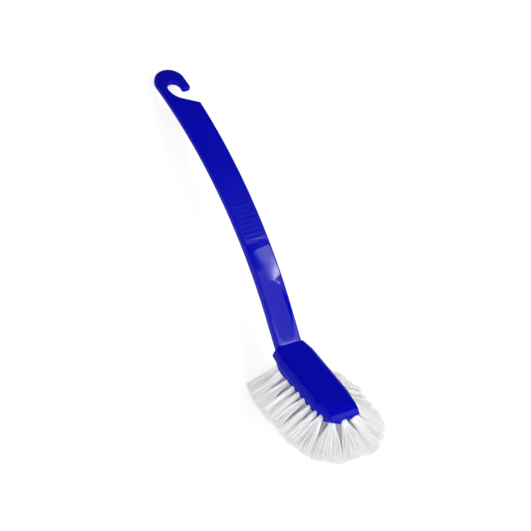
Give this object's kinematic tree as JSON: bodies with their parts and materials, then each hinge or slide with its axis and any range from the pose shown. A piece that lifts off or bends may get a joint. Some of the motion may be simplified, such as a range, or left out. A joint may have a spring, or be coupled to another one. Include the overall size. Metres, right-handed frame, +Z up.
{
  "type": "dish brush",
  "caption": "Dish brush: a one-piece plastic handle and head with an arched flat grip, thumb ribs and an open hanging hook, set with a fan of stiff bristle tufts.",
  "frame": {"origin": "under the middle of the brush's box, on the surface that it lies on", "axes": "+X from the hook end of the handle to the nose of the head, +Y to the brush's left, +Z up"},
  "size_m": [0.296, 0.0734, 0.0658],
  "materials": {
    "plastic": "smooth moulded polypropylene, glossy at the neck and head, duller along the grip",
    "bristle": "white synthetic filament, slightly translucent",
    "wire": "bright flat wire"
  },
  "bodies": {
    "root": {"handle_and_head": "plastic", "tuft_anchors": "wire", "tuft_centre_1": "bristle", "tuft_centre_2": "bristle", "tuft_centre_3": "bristle", "tuft_centre_4": "bristle", "tuft_centre_5": "bristle", "tuft_centre_6": "bristle", "tuft_centre_7": "bristle", "tuft_centre_8": "bristle", "tuft_inner_left_1": "bristle", "tuft_inner_left_2": "bristle", "tuft_inner_left_3": "bristle", "tuft_inner_left_4": "bristle", "tuft_inner_left_5": "bristle", "tuft_inner_left_6": "bristle", "tuft_inner_left_7": "bristle", "tuft_inner_left_8": "bristle", "tuft_inner_nose": "bristle", "tuft_inner_right_1": "bristle", "tuft_inner_right_2": "bristle", "tuft_inner_right_3": "bristle", "tuft_inner_right_4": "bristle", "tuft_inner_right_5": "bristle", "tuft_inner_right_6": "bristle", "tuft_inner_right_7": "bristle", "tuft_inner_right_8": "bristle", "tuft_left_1": "bristle", "tuft_left_2": "bristle", "tuft_left_3": "bristle", "tuft_left_4": "bristle", "tuft_left_5": "bristle", "tuft_left_6": "bristle", "tuft_left_7": "bristle", "tuft_left_8": "bristle", "tuft_nose_1": "bristle", "tuft_nose_2": "bristle", "tuft_nose_3": "bristle", "tuft_nose_4": "bristle", "tuft_nose_5": "bristle", "tuft_right_1": "bristle", "tuft_right_2": "bristle", "tuft_right_3": "bristle", "tuft_right_4": "bristle", "tuft_right_5": "bristle", "tuft_right_6": "bristle", "tuft_right_7": "bristle", "tuft_right_8": "bristle"}
  },
  "joints": []
}
